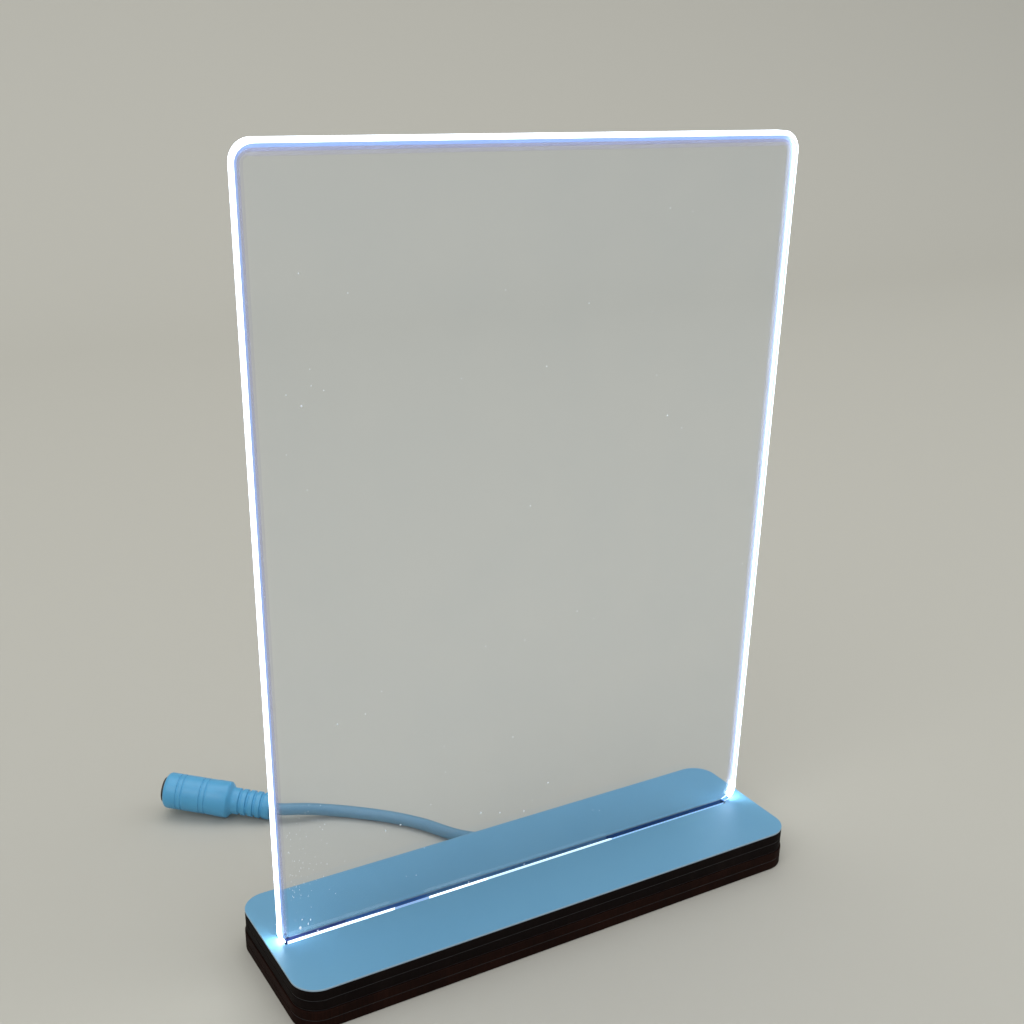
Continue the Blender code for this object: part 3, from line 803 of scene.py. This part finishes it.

# The laminate's core: a paler plastic, painted paler still as a highlight of the panel's light,
# that shows as a light hairline where it is cut.
core = speckled_surface(
    "laminate_core_and_painted_highlight", "#87A2B4", "#97B0BF", speck_mm=0.6, roughness=0.5
)
low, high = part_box("top_laminate")
laminate_arris, core_showing = 0.08 * MM, 0.02 * MM
laminate = cut_sheet(
    "laminate_sheet",
    [upper_outline, slot_loop],
    low.z,
    high.z,
    laminate_arris,
    [core, satin],
    core_showing,
)
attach(laminate, "base")
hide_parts("top_laminate")

# The panel: 3 mm cast acrylic cut by laser, standing on its shoulders with its tab in the
# slot. The light travels inside it and comes out at its cut edges, which glow white, with
# a thin cold border on both faces.
def cast_acrylic(name, glow, strength, clearness, deep="#F3F7FA", pale="#FAFCFD"):
    """Cast acrylic: clear and glossy, with faint ripples 25 mm apart. It glows where lit.

    Where it isn't wholly clear, it takes the colours from deep to pale, which with its glow are
    painted light.
    """
    made, tree, shader = new_material(
        name,
        ior=1.49,
        roughness=0.02,
        transmission_weight=clearness,
        emission_color=hex_colour(glow),
        emission_strength=strength,
    )
    ripple_mm = 25.0
    place = add_node(tree, "ShaderNodeTexCoord").outputs["Object"]
    ripple = add_node(tree, "ShaderNodeTexNoise", {"Vector": place, "Scale": 1 / (ripple_mm * MM)})
    colour = add_node(
        tree,
        "ShaderNodeMix",
        {"Factor": ripple.outputs["Fac"], 6: hex_colour(deep), 7: hex_colour(pale)},
        data_type="RGBA",
    )
    relief = add_node(
        tree,
        "ShaderNodeBump",
        {"Height": ripple.outputs["Fac"], "Strength": 0.12, "Distance": 0.1 * MM},
    )
    tree.links.new(colour.outputs[2], shader.inputs["Base Color"])
    tree.links.new(relief.outputs["Normal"], shader.inputs["Normal"])
    return made


def glowing_edge(name, glow, strength):
    """A laser-cut edge with the light coming out: frosted, with fine lines across it."""
    made, tree, shader = new_material(
        name, roughness=0.5, emission_color=hex_colour(glow), emission_strength=strength
    )
    line_mm, line_length_mm = 0.4, 6.0
    place = add_node(tree, "ShaderNodeTexCoord").outputs["Object"]
    stretched = add_node(
        tree,
        "ShaderNodeMapping",
        {
            "Vector": place,
            "Scale": (1 / (line_mm * MM), 1 / (line_length_mm * MM), 1 / (line_mm * MM)),
        },
    )
    lines = add_node(tree, "ShaderNodeTexNoise", {"Vector": stretched.outputs["Vector"]})
    lines.inputs["Scale"].default_value = 1.0
    colour = add_node(
        tree,
        "ShaderNodeMix",
        {"Factor": lines.outputs["Fac"], 6: hex_colour("#DFE9F2"), 7: hex_colour("#F1F7FC")},
        data_type="RGBA",
    )
    relief = add_node(
        tree,
        "ShaderNodeBump",
        {"Height": lines.outputs["Fac"], "Strength": 0.4, "Distance": 0.03 * MM},
    )
    tree.links.new(colour.outputs[2], shader.inputs["Base Color"])
    tree.links.new(relief.outputs["Normal"], shader.inputs["Normal"])
    return made


# Each finish has its glow and how strong that is, then how clear it is and its two tones.
finishes = {
    # The clear acrylic's faint blue glow is a painted haze of light over the whole panel.
    "clear": cast_acrylic("clear_cast_acrylic", "#8FC4FF", 0.012, 1.0),
    "edge": glowing_edge("glowing_laser_cut_edge", "#E4F1FF", 3.0),
    "hot_edge": glowing_edge("brightest_laser_cut_edge", "#E6F5FF", 19.0),
    # The border's rings from the edge inward: painted glow, white, then pale blue, then fainter
    # blue tints.
    "lit_rim": cast_acrylic("lit_rim_acrylic", "#E2F0FF", 2.5, 0.3),
    "painted_glow_rim": cast_acrylic("painted_glow_rim_acrylic", "#7FA8FF", 0.26, 0.3, "#A6BCE6", "#B2C6EE"),
    "faint_rim": cast_acrylic("faint_rim_acrylic", "#8F98FF", 0.03, 0.72, "#C2C4DC", "#CCCEE4"),
    "last_rim": cast_acrylic(
        "least_lit_rim_acrylic", "#8F98FF", 0.015, 0.92, "#E2E3EE", "#E9EAF3"
    ),
    # The right-hand corner's low curve: a painted dim blue glow, nearly opaque, in place of the
    # white edge glow.
    "painted_dim_corner": cast_acrylic("painted_dim_corner_acrylic", "#5A96E6", 0.35, 0.1, "#3A6CB4", "#4A80C8"),
    # The tab's finishes: a line of painted glow for the strip's light, then painted shade in dark
    # blues with a faint painted glow.
    "lit_line": cast_acrylic("lit_tab_acrylic", "#E4F6FF", 1.6, 0.2),
    "soft_line": cast_acrylic("softly_lit_tab_acrylic", "#C9EDFF", 1.0, 0.3),
    "dim_line": cast_acrylic("dim_tab_acrylic", "#A0C6F5", 0.7, 0.3, "#8FB4E4", "#9CC0EC"),
    "faint_line": cast_acrylic("faint_tab_acrylic", "#9CCBF7", 0.9, 0.3, "#6F9CD4", "#84AEE0"),
    "painted_pale_shade_tab": cast_acrylic("painted_pale_shade_tab_acrylic", "#6F9FD0", 0.1, 0.3, "#4673A4", "#5484B4"),
    "painted_blue_shade_tab": cast_acrylic("painted_blue_shade_tab_acrylic", "#4A78C8", 0.12, 0.2, "#3A62A6", "#466EB2"),
    "painted_dusky_shade_tab": cast_acrylic("painted_dusky_shade_tab_acrylic", "#4656B4", 0.1, 0.2, "#3A4580", "#46528E"),
    "painted_navy_shade_tab": cast_acrylic("painted_dark_shade_tab_acrylic", "#2A58A8", 0.1, 0.1, "#1C3C74", "#234782"),
}
finish_index = {finish: i for i, finish in enumerate(finishes)}

low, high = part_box("acrylic_panel")
panel_x, half = (low.x + high.x) / 2, (high.x - low.x) / 2
rest_gap, slide_gap, hot_height, hair = 0.3 * MM, 0.3 * MM, 5.0 * MM, 0.001 * MM
shoulder_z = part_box("top_laminate")[1].z + rest_gap
front_y, back_y = low.y, high.y
top_r, left_r, right_r = 5.0 * MM, 0.8 * MM, 3.8 * MM
tab_left, tab_right = channel_left + slide_gap, channel_right - slide_gap
hot_z = shoulder_z + hot_height

# The border's rings reach further in at the top, where the light collects.
side_reach, top_reach, foot_reach = (
    [0.0, 0.25 * MM, 0.8 * MM, 1.4 * MM, 2.1 * MM],
    [0.0, 1.05 * MM, 1.9 * MM, 2.7 * MM, 3.6 * MM],
    [0.0, 0.1 * MM, 0.25 * MM, 0.4 * MM, 0.6 * MM],
)
rim = []
for centre, radius, start in (
    ((half - right_r, shoulder_z + right_r), right_r, -90),
    ((half - top_r, high.z - top_r), top_r, 0),
    ((top_r - half, high.z - top_r), top_r, 90),
    ((left_r - half, shoulder_z + left_r), left_r, 180),
):
    for i, place in enumerate(arc(centre, radius, start, start + 90)):
        angle = math.radians(start + 90 * i / 16)
        rim.append((*place, math.cos(angle), math.sin(angle)))
    if start in (-90, 90):
        side = 1 if start == -90 else -1
        rim.append((side * half, hot_z, float(side), 0.0))


def ring(k):
    """The places of the border's ring k from the right-hand shoulder round to the left."""
    places = []
    for x, z, across, up in rim:
        end_reach = top_reach[k] if up > 0 else foot_reach[k]
        reach = side_reach[k] * across**2 + end_reach * up**2
        places.append((panel_x + x - across * reach, z - up * reach))
    return places


# The light of the strip that leaks out through the slot's front gap is painted on the tab as a
# glowing line, which thins to the right and ends where the strip does. Behind it, the back of the
# tab is painted dark blue as the slot's shade, with a faint painted glow, as is the front of the
# tab left of the strip.
leak = [
    (tab_left, 0.0, "painted_navy_shade_tab", "painted_navy_shade_tab"),
    (strip_low.x, 0.0, "lit_line", "painted_dusky_shade_tab"),
    (-56.0 * MM, 0.0, "lit_line", "painted_blue_shade_tab"),
    (-42.4 * MM, 0.15 * MM, "dim_line", "painted_blue_shade_tab"),
    (-32.1 * MM, 0.12 * MM, "lit_line", "painted_pale_shade_tab"),
    (-14.0 * MM, 0.1 * MM, "soft_line", "painted_pale_shade_tab"),
    (27.0 * MM, 0.15 * MM, "soft_line", "painted_navy_shade_tab"),
    (27.9 * MM, 0.36 * MM, "faint_line", "painted_navy_shade_tab"),
    (tab_right, 0.4 * MM, "", ""),
]
columns = [column[0] for column in leak]
front_drop, back_drop, front_reach, back_reach = 0.05 * MM, 0.4 * MM, 1.0 * MM, 1.7 * MM
bm = bmesh.new()
sides = []
for y in (front_y, back_y):
    rings = [[bm.verts.new((x, y, z)) for x, z in ring(k)] for k in range(len(side_reach))]
    borders = ("lit_rim", "painted_glow_rim", "faint_rim", "last_rim")
    for border, outer, inner in zip(borders, rings, rings[1:]):
        for i in range(len(outer) - 1):
            corners = (outer[i], outer[i + 1], inner[i + 1], inner[i])
            bm.faces.new(corners).material_index = finish_index[border]
    bm.faces.new(rings[-1])
    sill = [bm.verts.new((x, y, shoulder_z)) for x in columns]
    starts, ends = [ring[0] for ring in rings], [ring[-1] for ring in rings]
    bm.faces.new([*sill, *starts, *reversed(ends)])
    drops = [front_drop + drop if y == front_y else back_drop for _, drop, *_ in leak]
    step = [bm.verts.new((x, y, shoulder_z - drop)) for x, drop in zip(columns, drops)]
    line_end_z = shoulder_z - (front_reach if y == front_y else back_reach)
    line_end = [bm.verts.new((x, y, line_end_z)) for x in columns]
    foot = [bm.verts.new((x, y, low.z)) for x in columns]
    for i, (_, _, front_finish, back_finish) in enumerate(leak[:-1]):
        bm.faces.new((step[i], step[i + 1], sill[i + 1], sill[i]))
        lower = bm.faces.new((line_end[i], line_end[i + 1], step[i + 1], step[i]))
        bm.faces.new((foot[i], foot[i + 1], line_end[i + 1], line_end[i]))
        lower.material_index = finish_index[front_finish if y == front_y else back_finish]
    ends_left, ends_right = [step[0], line_end[0]], [line_end[-1], step[-1]]
    sides.append([sill[-1], *rings[0], sill[0], *ends_left, *foot, *ends_right])
# Low on the right-hand corner's curve the edge is painted a dim blue glow, up to this angle.
dim_corner_angle = math.radians(36)
dim_corner_top_z = shoulder_z + right_r * (1 - math.cos(dim_corner_angle))
for i in range(len(sides[0])):
    j = (i + 1) % len(sides[0])
    wall = bm.faces.new((sides[0][i], sides[0][j], sides[1][j], sides[1][i]))
    heights = [vert.co.z for vert in wall.verts]
    if min(heights) < shoulder_z - hair:
        wall.material_index = finish_index["clear"]
    elif max(heights) < dim_corner_top_z and wall.verts[0].co.x > panel_x:
        wall.material_index = finish_index["painted_dim_corner"]
    elif max(heights) < hot_z + hair:
        wall.material_index = finish_index["hot_edge"]
    else:
        wall.material_index = finish_index["edge"]
panel = link_mesh("panel_sheet", bm, list(finishes.values()), 30.0)
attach(panel, "panel")
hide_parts("acrylic_panel")

# Dust and fine scratches on the panel's front, with a painted glow where the light inside leaks
# out at each, so they show as bright points, most low down at the left, and two as wider smears.
dust = speckled_surface(
    "lit_dust_and_painted_glints",
    "#C9CDD2",
    "#F2F4F6",
    speck_mm=0.3,
    roughness=0.9,
    emission_strength=0.4,
    emission_color=hex_colour("#DCEBFF"),
)
face_y, mound_share = front_y / MM - 0.01, 0.25
# Each mark's place across and up the panel, then its width and height, all in millimetres.
marks = [
    (-62.3, 150.8, 0.5, 0.5),
    (37.9, 137.2, 0.5, 0.4),
    (-56.8, 71.1, 0.4, 0.5),
    (5.0, 37.2, 0.5, 0.4),
    (-16.3, 33.9, 0.4, 0.6),
    (-10.3, 32.1, 0.4, 0.5),
    (-2.6, 30.4, 0.3, 0.9),
    (-40.3, 37.4, 0.6, 0.4),
    (-44.6, 36.9, 0.4, 0.5),
    (-67.0, 15.7, 0.3, 0.9),
    (-66.3, 16.8, 0.3, 0.7),
    (-69.2, 15.2, 0.7, 1.1),
    (-68.6, 17.6, 0.4, 0.5),
    # The last three marks, just above the shoulder, are no dust: they are painted glints of the
    # LEDs.
    (-64.5, 12.75, 0.5, 0.4),
    (-19.9, 12.75, 0.4, 0.35),
    (-2.1, 12.75, 0.4, 0.35),
]
chance = random.Random(7)
for _ in range(80):
    x, z = -71.5 + 11.0 * chance.random() ** 1.3, 24.0 + 27.0 * chance.random() ** 1.5
    marks.append((x, z, 0.07 + 0.05 * chance.random(), 0.12 + 0.35 * chance.random()))
for _ in range(45):
    x, z = 72.0 * (2 * chance.random() - 1), 20.0 + 175.0 * chance.random() ** 1.5
    marks.append((x, z, 0.15 + 0.15 * chance.random(), 0.15 + 0.2 * chance.random()))
bm = bmesh.new()
for x, z, width, height in marks:
    # A low mound with an uneven outline, just clear of the face.
    turn = chance.random() * 60
    foot = []
    for px, pz in arc((0.0, 0.0), 0.5, turn, turn + 300, 5):
        ragged = 0.8 + 0.4 * chance.random()
        spot = (x + px * ragged * width, face_y, z + pz * ragged * height)
        foot.append(bm.verts.new(Vector(spot) * MM))
    crest = bm.verts.new(Vector((x, face_y - mound_share * width, z)) * MM)
    bm.faces.new(foot)
    for i in range(6):
        bm.faces.new((foot[i], foot[(i + 1) % 6], crest))
specks = link_mesh("dust_and_painted_glints_on_panel", bm, [dust], 60.0)
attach(specks, "panel")

# The cable inside the base: the same jacket as outside, cut square where the two leads come
# out of it. It is soft PVC, a satin grey-blue with hardly any mottle.
cable_d = 3.8 * MM
jacket = satin_plastic("pale_blue_pvc_jacket", "#5084A0", "#598EAB", 0.4, 3.0, 0.8)
low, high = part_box("cord_inner")
inner_places = [(cable_x, low.y, cable_z), (cable_x, high.y, cable_z)]
inner_cable = round_tube("cable_in_base", inner_places, cable_d, jacket, 8)
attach(inner_cable, "base")
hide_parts("cord_inner")

# The cable tie: moulded black nylon, pulled tight round the cable against the channel's wall
# so that the cable can't be pulled out. Its head stands to one side, and it has a dull sheen.
nylon = satin_plastic("black_moulded_nylon", "#151517", "#212123", 0.45, 1.0, 0.4)
low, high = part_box("cable_tie")
tie_y, half_band = (low.y + high.y) / 2, (high.y - low.y) / 2
band_inner, band_outer, ridge = 2.2 * MM, 2.7 * MM, 0.08 * MM
head_gap, head_edge, head_drop = 0.25 * MM, 0.2 * MM, 1.1 * MM
upright = Matrix.Translation((cable_x, tie_y, cable_z)) @ Matrix.Rotation(math.pi / 2, 4, "X")
bm = bmesh.new()
band = [(band_inner, -half_band), (band_outer - ridge, -half_band)]
band += [(band_outer, -half_band + ridge), (band_outer, half_band - ridge)]
band += [(band_outer - ridge, half_band), (band_inner, half_band)]
turned(bm, band, 48, upright, closed=True)
head_z = (high.z - low.z) / 2 - head_drop
box_part(
    bm,
    (cable_x + band_inner + head_gap, low.y, cable_z - head_z),
    (high.x, high.y, cable_z + head_z),
    bevel=head_edge,
)
tie = link_mesh("nylon_tie", bm, [nylon], 40.0)
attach(tie, "base")
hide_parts("cable_tie")

# The in-line socket: a soft PVC body moulded over the cord's end, with a ribbed strain
# relief behind and two pairs of fine grooves for grip. It rests on its relief and collar,
# with its mouth a little raised, and is a clearer blue than the cord, with a soft shine.
relief_end = Vector((-48.5, 75.2, 4.35)) * MM
heading, tilt = math.radians(143.6), math.radians(6.0)
along = Vector(
    (math.cos(heading) * math.cos(tilt), math.sin(heading) * math.cos(tilt), math.sin(tilt))
)
socket_axis = Matrix.Translation(relief_end) @ Matrix.Rotation(heading, 4, "Z")
socket_axis = socket_axis @ Matrix.Rotation(math.pi / 2 - tilt, 4, "Y")
socket_l, socket_r, collar_r, relief_r = 33.6 * MM, 5.6 * MM, 5.7 * MM, 4.15 * MM
relief_l, neck_l, collar_l, mouth_r = 11.9 * MM, 1.8 * MM, 4.2 * MM, 1.35 * MM
rib_edge, rib_depth, rib_count, collar_step = 0.4 * MM, 0.42 * MM, 5, 0.6 * MM
groove_w, groove_depth, pair_spacing = 0.6 * MM, 0.2 * MM, 1.6 * MM
bore_r, bore_depth = 4.2 * MM, 14.0 * MM
profile = [(0.0, 0.0)]
profile += arc((relief_r - rib_edge, rib_edge), rib_edge, -90, 0, 4)
rib_pitch = (relief_l - rib_edge) / rib_count
for i in range(1, rib_count):
    middle = rib_edge + rib_pitch * i
    for share in (-0.22, -0.17, -0.12, -0.08, 0.08, 0.12, 0.17, 0.22):
        inside = max(0.0, min(1.0, (0.2 - abs(share)) / 0.1))
        profile.append((relief_r - rib_depth * inside**0.7, middle + rib_pitch * share))
neck_steps = 8
for i in range(neck_steps + 1):
    share = i / neck_steps
    ease = share * share * (3 - 2 * share)
    profile.append((relief_r + (collar_r - relief_r) * ease, relief_l + neck_l * share))
collar_end = relief_l + neck_l + collar_l
profile += [(collar_r, collar_end - collar_step), (socket_r, collar_end)]
for groove_back in (12.6 * MM, 5.2 * MM):
    for side in (-1, 1):
        middle = socket_l - groove_back + side * pair_spacing / 2
        for share in (-0.5, -0.35, -0.2, 0.0, 0.2, 0.35, 0.5):
            depth = groove_depth * math.cos(share * math.pi) ** 0.6
            profile.append((socket_r - depth, middle + groove_w * share))
profile += arc((socket_r - mouth_r, socket_l - mouth_r), mouth_r, 0, 90, 8)
profile += [(bore_r, socket_l), (bore_r, socket_l - bore_depth), (0.0, socket_l - bore_depth)]
bm = bmesh.new()
turned(bm, profile, 96, socket_axis)
moulding = satin_plastic("pale_blue_pvc_moulding", "#489BC8", "#56A9D4", 0.36, 4.0, 0.9)
shell = link_mesh("socket_moulding", bm, [moulding], 35.0)
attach(shell, "base")
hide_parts("socket_shell")

# The socket's insert: hard black plastic with a bore for the plug, pressed into the soft
# body and standing a little out of it.
insert = satin_plastic("black_moulded_insert", "#121214", "#1D1D20", 0.3, 1.5, 0.5)
gap, proud, outer_edge, inner_edge = 0.2 * MM, 0.8 * MM, 0.46 * MM, 0.3 * MM
plug_r, floor_t, pin_r = 3.2 * MM, 3.0 * MM, 1.0 * MM
insert_low, insert_top = socket_l - bore_depth + gap, socket_l + proud
outer, hole = bore_r - gap, pin_r + gap
lining = [(hole, insert_low), (outer, insert_low), (outer, insert_top - outer_edge)]
lining += arc((outer - outer_edge, insert_top - outer_edge), outer_edge, 0, 90, 4)[1:]
lining += arc((plug_r + inner_edge, insert_top - inner_edge), inner_edge, 90, 180, 4)
lining += [(plug_r, insert_low + floor_t), (hole, insert_low + floor_t)]
bm = bmesh.new()
turned(bm, lining, 72, socket_axis, closed=True)
insulator = link_mesh("socket_insert", bm, [insert], 35.0)
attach(insulator, "base")
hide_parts("socket_insulator")

# The socket's contacts: a nickel-plated centre pin with a rounded tip, and a thin sprung
# leaf against the wall of the bore that touches the plug's sleeve. Nickel is a warm, pale
# metal, and the tool's marks dull it here and there.
nickel = bare_metal("nickel_plate", "#CFCABF", grain_mm=0.12, smoothest=0.15, roughest=0.35)
pin_recess, tip_h, leaf_steps = 1.2 * MM, 0.6 * MM, 12
pin_top = insert_top - pin_recess
profile = [(0.0, insert_low), (pin_r, insert_low), (pin_r, pin_top - tip_h)]
for radius, height in arc((0.0, 0.0), 1.0, 0, 90, 8)[1:]:
    profile.append((max(0.0, pin_r * radius), pin_top - tip_h + tip_h * height))
bm = bmesh.new()
turned(bm, profile, 40, socket_axis)
pin = link_mesh("centre_pin", bm, [nickel], 35.0)
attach(pin, "base")
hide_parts("socket_pin")

leaf_r, leaf_t, leaf_l = plug_r - gap, 0.25 * MM, 6.0 * MM
leaf_foot = insert_low + floor_t + gap
bm = bmesh.new()
section = arc((0.0, 0.0), leaf_r, -45, 45, leaf_steps)
section += arc((0.0, 0.0), leaf_r - leaf_t, 45, -45, leaf_steps)
ends = [
    [bm.verts.new(socket_axis @ Vector((x, y, leaf_foot + height))) for x, y in section]
    for height in (0.0, leaf_l)
]
for i in range(len(section)):
    j = (i + 1) % len(section)
    bm.faces.new((ends[0][i], ends[0][j], ends[1][j], ends[1][i]))
for i in range(leaf_steps):
    for row in ends:
        bm.faces.new((row[i], row[i + 1], row[-i - 2], row[-i - 1]))
leaf = link_mesh("sprung_leaf", bm, [nickel], 35.0)
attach(leaf, "base")
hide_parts("socket_contact")

# The cord's free stretch: a round two-core lead in pale blue PVC, stiff enough to hold its
# curve. It comes straight out of the base, drops to the table and climbs to the socket.
relief_gap, straight_l, cord_step = 0.3 * MM, 1.0 * MM, 1.6 * MM
cord_end = relief_end - along * relief_gap
cord_start = Vector((5.2, 22.9, 5.7)) * MM
route_mm = [
    (4.7, 25.6, 5.4),
    (2.9, 28.4, 4.4),
    (-0.2, 32.0, 2.9),
    (-3.5, 36.8, 2.15),
    (-6.0, 41.0, 2.0),
    (-9.9, 47.7, 2.0),
    (-14.9, 54.1, 2.0),
    (-20.6, 59.9, 2.0),
    (-26.8, 65.3, 2.0),
    (-30.3, 67.7, 2.15),
    (-34.1, 69.5, 2.7),
    (-38.1, 70.8, 3.4),
    (-42.1, 72.0, 3.95),
    (-45.4, 73.3, 4.1),
]
route = [cord_start, cord_start + Vector((0.0, 1.0, 0.0)) * straight_l]
route += [Vector(point) * MM for point in route_mm]
route += [cord_end - along * straight_l, cord_end]
cord_places = smooth_route(route, cord_step)
cord = round_tube("free_cord", cord_places, cable_d, jacket, 8)
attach(cord, "base")
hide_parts("power_cord")
